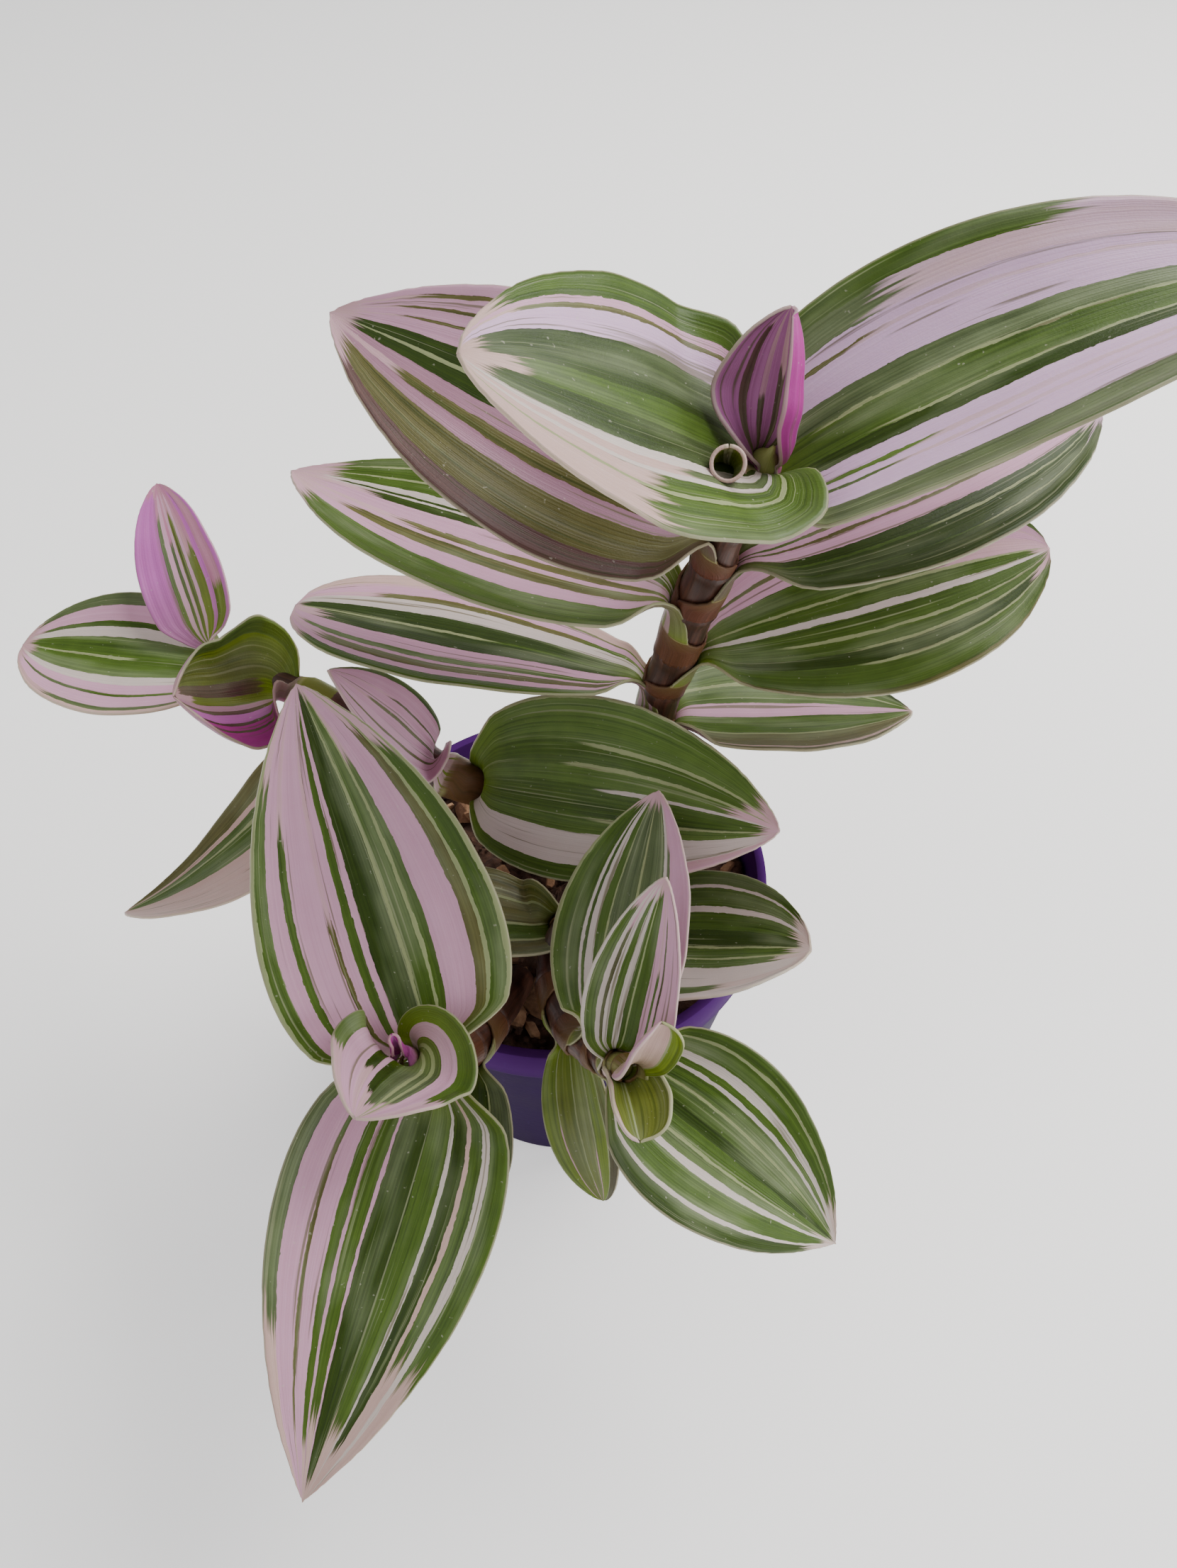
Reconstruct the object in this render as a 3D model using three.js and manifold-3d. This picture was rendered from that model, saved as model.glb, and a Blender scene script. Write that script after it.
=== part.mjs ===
// A striped tradescantia in a small plastic nursery pot, in millimetres, +Z up.
// The origin is the middle of the pot's flat underside. +X is to the right and -Y to the front.
import * as THREE from "three";
import { mergeVertices } from "three/addons/utils/BufferGeometryUtils.js";
import Module from "manifold-3d";

const wasm = await Module();
wasm.setup();

// Driving dimensions of the pot and its soil.
const POT_HEIGHT = 70;
const RIM_RADIUS = 45;
const BASE_RADIUS = 34;
const WALL = 1.2;
const COLLAR_HEIGHT = 9;
const COLLAR_STEP = 1.6;
const DRAIN_HOLES = 6;
const DRAIN_RADIUS = 3;
const DRAIN_CIRCLE = 23;
const SOIL_DEPTH_BELOW_RIM = 8;
const POT_SIDES = 36;
const SOIL_SIDES = 24;

// Driving dimensions of the plant.
const BLADE = 0.8;
const STEM_RADIUS = 3.3;
const TIP_RADIUS = 1.8;
const SHEATH_WALL = 0.8;
const GAP = 0.3;
const ROOT_LEVEL = 50;
const STEM_SIDES = 8;
const BLADE_STEPS = 9;
const YOUNG_STEPS = 6;
const BLADE_STRIPS = 4;
// A blade leaves its stem over this distance, and a sheath's bore runs this far past its mouth.
const DEPARTURE = 7;
const BORE_PAST_MOUTH = 9;
const BLADE_HALF_TIP = 0.6;

// The points each stem is bent through, from its root in the soil to its growing tip.
const STEM_POINTS = {
  main: [
    [13, 13, ROOT_LEVEL], [16, 11, 82], [20, 5, 116], [23, 3, 133],
    [28, -2, 159], [31, -6, 174], [34, -9, 184],
  ],
  left: [
    [-4, 10, ROOT_LEVEL], [-6, 8, 76], [-12, 3, 93], [-22, 3, 99],
    [-36, 11, 103], [-52, 20, 107], [-68, 27, 108],
  ],
  front_left: [
    [-9, -20, ROOT_LEVEL], [-9, -24, 65], [-11, -37, 77], [-15, -47, 82], [-20, -55, 89], [-24, -60, 100],
  ],
  front_right: [
    [5, -8, ROOT_LEVEL], [5, -10, 66], [1, -20, 75], [-1, -33, 79],
    [3, -46, 83], [10, -56, 90], [12, -62, 100],
  ],
};

// How a leaf is described, with what most leaves share:
// at: distance along the stem to the mouth of the leaf's sheath; sheath: the sheath's length below it
// heading: the way the leaf leaves the stem, in degrees from +X towards +Y; rise: its angle above level
// length, width: of the blade; roll and twist: turns about its midrib; droop: how far the tip bends down
// sweep: how far the tip bends to the right; cup: how far each half folds up, left then right
// root, taper: how full the outline is towards the stem and towards the tip
// wrap: the half angle that the base holds round the stem; open: where along the blade the base is flat
// stand: how far the foot's middle stands off the stem, so that the next sheath fits inside it
const LEAF_SHARED = {
  roll: 0, twist: 0, droop: 25, sweep: 0, cup: [28, 28], root: 0.55, taper: 0.85,
  wrap: 100, open: 0.28, stand: 1.8,
};

const LEAVES = {
  // The upright stem, two ranks of big leaves from the lowest up, then the young folded leaf.
  leaf_main_1_right: {
    at: 58.5, sheath: 7.5, heading: 2, rise: -5, length: 52, width: 38, roll: -13, droop: 1, sweep: -7,
    cup: [32, 28], wrap: 102, open: 0.3, stand: 1.9,
  },
  leaf_main_2_left: {
    at: 68, sheath: 4, heading: 165, rise: 6, length: 72, width: 37, roll: 15, droop: 3, sweep: -3,
    cup: [6, 9], root: 0.72, taper: 0.48, wrap: 106, stand: 0.7,
  },
  leaf_main_3_right: {
    at: 79, sheath: 5, heading: 8, rise: 12, length: 72, width: 37, roll: 30, twist: 8, droop: 15,
    sweep: -5, root: 0.8, taper: 0.7,
  },
  leaf_main_4_left: {
    at: 92, sheath: 8, heading: 168, rise: 6, length: 77, width: 38, droop: 1, sweep: 20,
  },
  leaf_main_5_right: {
    at: 104, sheath: 7, heading: 18, rise: 22, length: 77, width: 40, roll: 20, droop: 34, root: 0.7,
  },
  leaf_main_6_left: {
    at: 113.5, sheath: 5, heading: 171, rise: 27, length: 70, width: 40, roll: -34, droop: 24,
    sweep: 12, wrap: 88,
  },
  leaf_main_7_right: {
    at: 121, sheath: 3, heading: 6, rise: 36, length: 88, width: 46, roll: 12, droop: 35,
    cup: [38, 42], root: 0.4, taper: 0.6, wrap: 94, open: 0.24, stand: 1.4,
  },
  leaf_main_8_left: {
    at: 129, sheath: 5, heading: 210, rise: 41, length: 53, width: 44, roll: -26, droop: 19, sweep: 6,
    cup: [36, 12], root: 0.4, taper: 0.65, wrap: 95, open: 0.3, stand: 1.7,
  },
  young_main_folded: {
    at: 135, sheath: 1, heading: 268, rise: 74, length: 31, width: 19, twist: -3, droop: 5, sweep: 4,
    cup: [46, 138], root: 0.5, taper: 0.6, wrap: 127, open: 0.18, stand: 0.8,
  },
  young_main_rolled: {
    at: 136, sheath: 0, heading: 200, rise: 78, length: 9, width: 11, droop: 6, cup: [165, 165],
    root: 0.3, taper: 0.3, wrap: 165, stand: 0.7,
  },

  // The stem that leans out over the rim to the left, and its crown.
  leaf_left_1_right: {
    at: 46, sheath: 5.5, heading: -23, rise: 21, length: 65, width: 37, roll: 38, droop: 33, sweep: 12,
    cup: [34, 32], taper: 0.8, wrap: 99, stand: 1.9,
  },
  leaf_left_2_back: {
    at: 55, sheath: 7, heading: 186, rise: 60, length: 35, width: 19, roll: -12, droop: 0,
  },
  leaf_left_3_front: {
    at: 69, sheath: 8, heading: 232, rise: -28, length: 68, width: 32, twist: 55, droop: 6, sweep: 45,
  },
  leaf_left_4_cupped: {
    at: 90, sheath: 8, heading: 213, rise: 2, length: 29, width: 29, roll: -22, droop: -68, sweep: 8,
    cup: [41, 39], root: 0.6, taper: 0.5, wrap: 109, open: 0.32, stand: 1.9,
  },
  leaf_left_5_left: {
    at: 106, sheath: 9, heading: 184, rise: 4, length: 43, width: 33, roll: -4, twist: -3, droop: -2,
    sweep: 18, cup: [24, 30], root: 0.6, wrap: 85, open: 0.24, stand: 1.6,
  },
  young_left_upright: {
    at: 108.5, sheath: 0, heading: 115, rise: 56, length: 40, width: 18, roll: -22, droop: 39,
    sweep: -9, cup: [26, 20], taper: 0.73, wrap: 88, open: 0.26, stand: 1.6,
  },

  // The stem that leans over the front rim to the left, and its crown.
  leaf_front_left_1_under: {
    at: 46, sheath: 7.5, heading: 263, rise: -31, length: 38, width: 22, roll: 4, sweep: 4,
    cup: [22, 35], wrap: 94, open: 0.26, stand: 2,
  },
  leaf_front_left_2_down: {
    at: 56, sheath: 8, heading: 255, rise: -5, length: 73, width: 38, roll: -12, droop: 40, sweep: -2,
    root: 0.47, taper: 1,
  },
  leaf_front_left_3_up: {
    at: 60, sheath: 3, heading: 111, rise: 54, length: 70, width: 41, roll: -7, twist: 3, droop: 31,
    sweep: -6, cup: [23, 20], root: 0.42, wrap: 70, open: 0.22, stand: 1.2,
  },
  young_front_left_curled: {
    at: 68.5, sheath: 0.5, heading: 247, rise: 60, length: 22, width: 26, droop: 45, sweep: 2,
    cup: [46, 46], root: 0.35, taper: 0.7, wrap: 134, open: 0.72, stand: 0.7,
  },
  young_front_left_bud: {
    at: 71, sheath: 0, heading: 120, rise: 75, length: 9, width: 6, droop: 6, cup: [130, 130],
    root: 0.4, taper: 0.6, wrap: 130, stand: 0.7,
  },

  // The stem that leans over the front rim to the right, and its crown.
  leaf_front_right_1_left: {
    at: 24, sheath: 3, heading: 190, rise: 25, length: 40, width: 32, roll: 24, twist: -3, droop: 13,
    sweep: 4, cup: [21, 35], root: 0.6, wrap: 105, open: 0.32, stand: 2.2,
  },
  leaf_front_right_2_right: {
    at: 29, sheath: 4, heading: -17, rise: 19, length: 51, width: 40, roll: -15, droop: -2, sweep: -4,
    root: 0.68, taper: 0.6, wrap: 104, stand: 1,
  },
  leaf_front_right_3_hanging: {
    at: 52, sheath: 8, heading: 274, rise: -45, length: 40, width: 15, roll: 25, droop: 30, root: 0.65,
    taper: 0.7, wrap: 97,
  },
  leaf_front_right_4_up: {
    at: 62.5, sheath: 6.5, heading: 78, rise: 39, length: 48, width: 27, roll: -25, twist: 4,
    droop: 14, cup: [35, 20], root: 0.62, wrap: 96, stand: 1.2,
  },
  leaf_front_right_5_down: {
    at: 70.5, sheath: 5, heading: 325, rise: -12, length: 54, width: 33, roll: 13, twist: 4, droop: 41,
    cup: [35, 35], taper: 1, wrap: 91, open: 0.24, stand: 1,
  },
  leaf_front_right_6_up: {
    at: 73.5, sheath: 2, heading: 65, rise: 68, length: 38, width: 17, roll: -5, droop: 12,
    cup: [29, 23], root: 0.42, taper: 0.77, wrap: 111, open: 0.32, stand: 1.3,
  },
  young_front_right_spoon: {
    at: 83.5, sheath: 0, heading: 65, rise: 61, length: 14, width: 13, roll: 54, droop: -26,
    cup: [57, 59], root: 0.5, taper: 0.5, wrap: 99, stand: 0.9,
  },
  young_front_right_hook: {
    at: 77, sheath: 0, heading: 285, rise: 25, length: 15, width: 14, roll: -20, droop: 30,
    cup: [75, 75], root: 0.5, taper: 0.5, stand: 0.7,
  },
};

const COLOURS = {
  pot: { color: 0x3c2a63, roughness: 0.45, metalness: 0 },
  soil: { color: 0x3b2a20, roughness: 0.95, metalness: 0 },
  stem: { color: 0x4b2b2c, roughness: 0.6, metalness: 0 },
  leaf: { color: 0x66784f, roughness: 0.5, metalness: 0 },
  young: { color: 0xb57ba8, roughness: 0.5, metalness: 0 },
};

const part = new THREE.Group();

function addMesh(name, geometry, finish) {
  const mesh = new THREE.Mesh(geometry, new THREE.MeshStandardMaterial(COLOURS[finish]));
  mesh.name = name;
  part.add(mesh);
}

// Turns a closed geometry into a solid that can be joined and cut, and back.
function solidFrom(geometry) {
  const bare = geometry.clone();
  bare.deleteAttribute("normal");
  bare.deleteAttribute("uv");
  const merged = mergeVertices(bare, 1e-4);
  return new wasm.Manifold(
    new wasm.Mesh({
      numProp: 3,
      vertProperties: new Float32Array(merged.attributes.position.array),
      triVerts: new Uint32Array(merged.index.array),
    }),
  );
}

function geometryFrom(solid) {
  const mesh = solid.getMesh();
  const geometry = new THREE.BufferGeometry();
  geometry.setAttribute("position", new THREE.BufferAttribute(mesh.vertProperties, 3));
  geometry.setIndex(new THREE.BufferAttribute(mesh.triVerts, 1));
  return geometry;
}

const radians = THREE.MathUtils.degToRad;
const lerp = THREE.MathUtils.lerp;
const ease = (value, from, to) => THREE.MathUtils.smoothstep(value, from, to);

// A stem's centre line: the given points with their corners cut twice, and distances along it.
class CentreLine {
  constructor(points) {
    let line = points.map((p) => new THREE.Vector3(...p));
    for (let pass = 0; pass < 2; pass++) line = CentreLine.cutCorners(line);
    this.line = line;
    this.marks = [0];
    for (let i = 1; i < line.length; i++) {
      this.marks.push(this.marks[i - 1] + line[i].distanceTo(line[i - 1]));
    }
    this.length = this.marks.at(-1);
  }

  static cutCorners(line) {
    const cut = [line[0]];
    for (let i = 0; i < line.length - 1; i++) {
      cut.push(line[i].clone().lerp(line[i + 1], 0.25), line[i].clone().lerp(line[i + 1], 0.75));
    }
    cut.push(line.at(-1));
    return cut;
  }

  // The point and direction at a distance along the line; past its ends it runs on straight.
  at(distance) {
    let i = 0;
    while (i < this.line.length - 2 && this.marks[i + 1] < distance) i++;
    const direction = this.line[i + 1].clone().sub(this.line[i]).normalize();
    const point = this.line[i].clone().addScaledVector(direction, distance - this.marks[i]);
    return { point, direction };
  }

  radius(distance) {
    return lerp(STEM_RADIUS, TIP_RADIUS, ease(distance, this.length * 0.7, this.length));
  }
}

const stems = Object.fromEntries(
  Object.entries(STEM_POINTS).map(([name, points]) => [name, new CentreLine(points)]),
);

// A round bar along part of a stem: a cylinder whose rings are moved onto the centre line's bends.
function barAlong(stem, from, to, extra, extraAtEnd = extra) {
  const bends = stem.marks.filter((mark, i) => i % 2 === 0 && mark > from + 0.5 && mark < to - 0.5);
  const stops = [from, ...bends, to];
  const bar = new THREE.CylinderGeometry(1, 1, 1, STEM_SIDES, stops.length - 1);
  const position = bar.attributes.position;
  const side = new THREE.Vector3();
  const up = new THREE.Vector3();
  for (let i = 0; i < position.count; i++) {
    const distance = stops[Math.round((position.getY(i) + 0.5) * (stops.length - 1))];
    const { point, direction } = stem.at(distance);
    const radius = stem.radius(distance) + lerp(extra, extraAtEnd, (distance - from) / (to - from));
    side.crossVectors(direction, new THREE.Vector3(0.3, 1, 0.2)).normalize();
    up.crossVectors(side, direction);
    point.addScaledVector(side, position.getX(i) * radius);
    point.addScaledVector(up, position.getZ(i) * radius);
    position.setXYZ(i, point.x, point.y, point.z);
  }
  return solidFrom(bar);
}

// A thin closed sheet: a plane of strips whose two faces are placed by a function of
// t (stem to tip), v (left edge -1 to right edge 1) and the side (-1 below, 1 above).
function thinSheet(steps, strips, place) {
  const across = strips + 1;
  const count = across * (steps + 1);
  const vertices = [];
  for (const side of [1, -1]) {
    for (let i = 0; i <= steps; i++) {
      for (let j = 0; j <= strips; j++) {
        vertices.push(...place(i / steps, (2 * j) / strips - 1, side).toArray());
      }
    }
  }
  const triangles = [];
  const quad = (a, b, c, d) => triangles.push(a, b, c, a, c, d);
  for (let i = 0; i < steps; i++) {
    for (let j = 0; j < strips; j++) {
      const a = i * across + j;
      const [b, c, d] = [a + 1, a + across + 1, a + across];
      quad(a, b, c, d);
      triangles.push(a + count, c + count, b + count, a + count, d + count, c + count);
    }
  }
  const border = [];
  for (let j = 0; j < strips; j++) border.push(j);
  for (let i = 0; i < steps; i++) border.push(i * across + strips);
  for (let j = strips; j > 0; j--) border.push(steps * across + j);
  for (let i = steps; i > 0; i--) border.push(i * across);
  border.forEach((a, k) => {
    const b = border[(k + 1) % border.length];
    quad(b, a, a + count, b + count);
  });
  const sheet = new THREE.BufferGeometry();
  sheet.setAttribute("position", new THREE.BufferAttribute(new Float32Array(vertices), 3));
  sheet.setIndex(triangles);
  return solidFrom(sheet);
}

// The frame of a leaf at every step from its foot on the stem to its tip.
function leafFrames(leaf, stem, steps) {
  const { point: foot, direction: axis } = stem.at(leaf.at);
  const [heading, rise] = [radians(leaf.heading), radians(leaf.rise)];
  const start = new THREE.Vector3(
    Math.cos(heading) * Math.cos(rise), Math.sin(heading) * Math.cos(rise), Math.sin(rise),
  );
  const outward = start.clone().projectOnPlane(axis).normalize();
  const face = new THREE.Vector3(0, 0, 1).projectOnPlane(start).normalize();
  face.applyAxisAngle(start, radians(leaf.roll));
  const hold = stem.radius(leaf.at) + leaf.stand;
  const frames = [];
  const spot = foot.clone().addScaledVector(outward, hold);
  const fine = 3;
  for (let i = 0; i <= steps * fine; i++) {
    const t = i / (steps * fine);
    const bend = radians(leaf.droop) * t;
    const along = start.clone().applyAxisAngle(start.clone().cross(face), -bend);
    const normal = face.clone().applyAxisAngle(start.clone().cross(face), -bend);
    along.applyAxisAngle(face, -radians(leaf.sweep) * t);
    const spread = ease(t * leaf.length, 0, DEPARTURE);
    along.lerp(axis, 1 - spread).normalize();
    normal.multiplyScalar(spread).addScaledVector(outward, spread - 1);
    normal.projectOnPlane(along).normalize();
    normal.applyAxisAngle(along, radians(leaf.twist) * t);
    if (i % fine === 0) {
      frames.push({ t, spot: spot.clone(), along, normal, right: along.clone().cross(normal) });
    }
    spot.addScaledVector(along, leaf.length / (steps * fine));
  }
  return { frames, hold };
}

// The outline's half width, 1 at its widest.
function outline(leaf, t) {
  const widest = leaf.root / (leaf.root + leaf.taper);
  const full = widest ** leaf.root * (1 - widest) ** leaf.taper;
  return (t ** leaf.root * (1 - t) ** leaf.taper) / full;
}

function bladeOf(leaf, stem, thickness) {
  const { frames, hold } = leafFrames(leaf, stem, leaf.steps);
  const neck = hold * radians(leaf.wrap);
  return thinSheet(leaf.steps, BLADE_STRIPS, (t, v, side) => {
    const frame = frames[Math.round(t * leaf.steps)];
    const half = Math.max(
      Math.hypot((leaf.width / 2) * outline(leaf, t), neck * Math.exp(-((t / 0.1) ** 2))), BLADE_HALF_TIP,
    );
    const folded = lerp(radians(leaf.wrap), radians(leaf.cup[v < 0 ? 0 : 1]), ease(t, 0.02, leaf.open));
    const fold = Math.min(folded, half / 0.8);
    const angle = fold * v;
    const radius = half / fold;
    const out = (side * thickness) / 2;
    return frame.spot.clone()
      .addScaledVector(frame.right, (radius - out) * Math.sin(angle))
      .addScaledVector(frame.normal, radius - (radius - out) * Math.cos(angle));
  });
}

// A blade with its closed sheath, cut clear of the stem that it wraps.
function leafSolid(leaf) {
  const stem = stems[leaf.stem];
  let solid = bladeOf(leaf, stem, BLADE);
  const wall = GAP + SHEATH_WALL;
  if (leaf.sheath > 0) {
    const mouth = barAlong(stem, leaf.at - leaf.sheath, leaf.at + 1, wall, leaf.stand + BLADE / 2);
    const throat = barAlong(stem, leaf.at + 0.4, leaf.at + BORE_PAST_MOUTH, wall + GAP);
    solid = solid.add(mouth).subtract(throat);
  }
  return solid.subtract(barAlong(stem, leaf.at - leaf.sheath - 1, leaf.at + BORE_PAST_MOUTH, GAP));
}

// The pot: one thin wall turned round the axis, with a collar at the rim and drain holes.
const COLLAR_FOOT = POT_HEIGHT - COLLAR_HEIGHT;
const NECK_RADIUS = RIM_RADIUS - COLLAR_STEP;
const FLOOR_TOP = WALL + 0.6;

function turned(profile, sides) {
  const points = profile.map(([radius, height]) => new THREE.Vector2(radius, height));
  return new THREE.LatheGeometry(points, sides).rotateX(Math.PI / 2);
}

function potSolid() {
  const outside = [
    [0, 0], [BASE_RADIUS - 1.2, 0], [BASE_RADIUS, 1.2], [NECK_RADIUS, COLLAR_FOOT - 1],
    [RIM_RADIUS - 0.4, COLLAR_FOOT], [RIM_RADIUS, COLLAR_FOOT + 0.8],
    [RIM_RADIUS, POT_HEIGHT - 0.6], [RIM_RADIUS - 0.6, POT_HEIGHT],
  ];
  const inside = [
    [RIM_RADIUS - WALL - 0.5, POT_HEIGHT], [RIM_RADIUS - WALL - 1, POT_HEIGHT - 1],
    [NECK_RADIUS - WALL, COLLAR_FOOT - 1], [BASE_RADIUS - WALL, FLOOR_TOP], [0, FLOOR_TOP],
  ];
  let pot = solidFrom(turned([...outside, ...inside], POT_SIDES));
  for (let i = 0; i < DRAIN_HOLES; i++) {
    const angle = (2 * Math.PI * i) / DRAIN_HOLES;
    const hole = new THREE.CylinderGeometry(DRAIN_RADIUS, DRAIN_RADIUS, 10, 12).rotateX(Math.PI / 2);
    hole.translate(DRAIN_CIRCLE * Math.cos(angle), DRAIN_CIRCLE * Math.sin(angle), 0);
    pot = pot.subtract(solidFrom(hole));
  }
  return pot;
}

// The height of the soil: a low mound that is worked into lumps.
const SOIL_LEVEL = POT_HEIGHT - SOIL_DEPTH_BELOW_RIM;
function soilHeight(x, y) {
  const wide = Math.sin(0.55 * x + 1.3) * Math.cos(0.48 * y - 0.6);
  const fine = Math.sin(1.1 * x - 0.9 * y);
  const mound = Math.exp(-(x * x + y * y) / 500);
  return SOIL_LEVEL - 1 + 0.8 * wide + 0.5 * fine + 1.2 * mound;
}

// Chips of bark that lie half sunk in the soil: x, y, length and turn of each.
const CHIPS = [
  [-16, -24, 9, 20], [-4, -27, 7, 75], [-20, -14, 6, 130], [8, -30, 7, 10],
  [20, -26, 8, 150], [-28, 6, 8, 60], [-18, 24, 9, 15], [2, 28, 7, 100],
  [26, 16, 8, 40], [29, -6, 7, 95], [-11, -31, 6, 160], [-30, -12, 6, 20],
];

// The soil fills the pot to a gap off its wall; its top is a fan of rings that follow the mound.
function soilSolid() {
  const slope = (NECK_RADIUS - BASE_RADIUS) / (COLLAR_FOOT - 1 - FLOOR_TOP);
  const wallRadius = (height) => BASE_RADIUS - WALL - GAP + slope * (height - FLOOR_TOP);
  const shoulder = SOIL_LEVEL - 3;
  const edge = wallRadius(shoulder);
  const floor = FLOOR_TOP + GAP;
  const profile = [[0, floor], [wallRadius(floor), floor], [edge, shoulder]];
  for (const share of [0.85, 0.68, 0.5, 0.32, 0.16, 0]) profile.push([edge * share, SOIL_LEVEL]);
  const body = turned(profile, SOIL_SIDES);
  const position = body.attributes.position;
  for (let i = 0; i < position.count; i++) {
    if (position.getZ(i) < SOIL_LEVEL - 0.5) continue;
    position.setZ(i, soilHeight(position.getX(i), position.getY(i)));
  }
  let soil = solidFrom(body);
  for (const [x, y, length, turn] of CHIPS) {
    const chip = new THREE.IcosahedronGeometry(length / 2, 0).scale(1, 0.65, 0.4);
    chip.rotateX(0.3).rotateZ(radians(turn)).translate(x, y, soilHeight(x, y));
    soil = soil.add(solidFrom(chip));
  }
  for (const stem of Object.values(stems)) {
    soil = soil.subtract(barAlong(stem, -GAP, 22, GAP));
  }
  return soil;
}

addMesh("pot", geometryFrom(potSolid()), "pot");
addMesh("soil", geometryFrom(soilSolid()), "soil");
for (const [name, stem] of Object.entries(stems)) {
  addMesh(`stem_${name}`, geometryFrom(barAlong(stem, 0, stem.length, 0)), "stem");
}
for (const [name, leaf] of Object.entries(LEAVES)) {
  const stem = name.match(/_(main|left|front_left|front_right)_/)[1];
  const kind = name.startsWith("young") ? "young" : "leaf";
  const steps = kind === "young" ? YOUNG_STEPS : BLADE_STEPS;
  addMesh(name, geometryFrom(leafSolid({ ...LEAF_SHARED, stem, steps, ...leaf })), kind);
}

export default part;
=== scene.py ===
import math
import random

import bmesh
import bpy
from mathutils import Matrix, Quaternion, Vector, noise


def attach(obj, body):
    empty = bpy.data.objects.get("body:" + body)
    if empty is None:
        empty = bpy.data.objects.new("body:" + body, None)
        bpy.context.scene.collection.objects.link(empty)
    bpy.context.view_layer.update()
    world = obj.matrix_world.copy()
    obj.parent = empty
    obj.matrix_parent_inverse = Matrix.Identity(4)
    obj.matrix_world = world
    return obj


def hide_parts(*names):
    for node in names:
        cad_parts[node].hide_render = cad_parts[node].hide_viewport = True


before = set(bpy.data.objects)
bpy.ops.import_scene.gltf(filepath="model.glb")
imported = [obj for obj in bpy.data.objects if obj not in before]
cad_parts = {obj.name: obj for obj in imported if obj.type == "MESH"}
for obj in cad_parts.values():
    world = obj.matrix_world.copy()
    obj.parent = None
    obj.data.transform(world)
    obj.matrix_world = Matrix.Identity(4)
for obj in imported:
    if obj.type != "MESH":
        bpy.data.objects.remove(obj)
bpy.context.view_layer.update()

# The studio: a camera that looks steeply down on the plant from its front, and a plain pale floor
# that glows a little, lit by three soft lamps and an even white room.
MM = 0.001
CAMERA_PLACE = Vector((6.754, -152.602, 284.007)) * MM
LOOKS_DOWN = math.radians(50.5)
CAMERA_ROLL = math.radians(-1.1)
SENSOR_WIDTH = 36
LENS = 27.67
ROOM_LIGHT = 0.38
FLOOR_GLOW = 0.5
FLOOR_REACH = 3
FLOOR_DROP = 0.0002

camera = bpy.data.objects.new("camera", bpy.data.cameras.new("camera"))
bpy.context.scene.collection.objects.link(camera)
camera.data.sensor_width = SENSOR_WIDTH
camera.data.lens = LENS
camera.data.clip_start = 0.01
camera.matrix_world = (
    Matrix.Translation(CAMERA_PLACE)
    @ Matrix.Rotation(math.pi / 2 - LOOKS_DOWN, 4, "X")
    @ Matrix.Rotation(CAMERA_ROLL, 4, "Z")
)
bpy.context.scene.camera = camera


def lamp(name, place, target, size, power, tint):
    """A square soft lamp at a place, turned to a target; metres and watts."""
    light = bpy.data.objects.new(name, bpy.data.lights.new(name, "AREA"))
    light.data.size = size
    light.data.energy = power
    light.data.color = tint
    light.location = place
    light.rotation_euler = (Vector(target) - Vector(place)).to_track_quat("-Z", "Y").to_euler()
    bpy.context.scene.collection.objects.link(light)


lamp("window", (0.55, 0.35, 0.85), (0, 0, 0.1), 0.7, 13, (1, 0.985, 0.965))
lamp("low_side", (0.75, -0.2, 0.3), (0, 0, 0.05), 0.4, 2.6, (1, 0.98, 1))
lamp("reflector", (-0.7, -0.5, 0.8), (0, 0, 0.1), 1.0, 4, (0.97, 0.98, 1))

world = bpy.data.worlds.new("studio")
bpy.context.scene.world = world
world.use_nodes = True
background = world.node_tree.nodes["Background"].inputs
background["Color"].default_value = (1, 1, 1, 1)
background["Strength"].default_value = ROOM_LIGHT


def linear(colour):
    """The colour of a six-digit code, as the shader takes it; other values stay as they are."""
    if not isinstance(colour, str):
        return colour
    parts = [int(colour[i:i + 2], 16) / 255 for i in (0, 2, 4)]
    return tuple(((p + 0.055) / 1.055) ** 2.4 if p > 0.04 else p / 12.92 for p in parts) + (1,)


class Signal:
    """One output of a shader node; sums on signals add the Math nodes that work them out."""

    def __init__(self, finish, socket):
        self.finish = finish
        self.socket = socket

    def maths(self, operation, *others):
        values = dict(enumerate((self, *others)))
        return self.finish.node("ShaderNodeMath", {"operation": operation}, values)

    def __add__(self, other):
        return self.maths("ADD", other)

    def __sub__(self, other):
        return self.maths("SUBTRACT", other)

    def __mul__(self, other):
        return self.maths("MULTIPLY", other)

    def __truediv__(self, other):
        return self.maths("DIVIDE", other)

    def __rsub__(self, other):
        return (self * -1) + other

    __radd__ = __add__
    __rmul__ = __mul__

    def held(self):
        """The signal kept between 0 and 1."""
        return self.maths("MAXIMUM", 0).maths("MINIMUM", 1)


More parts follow.
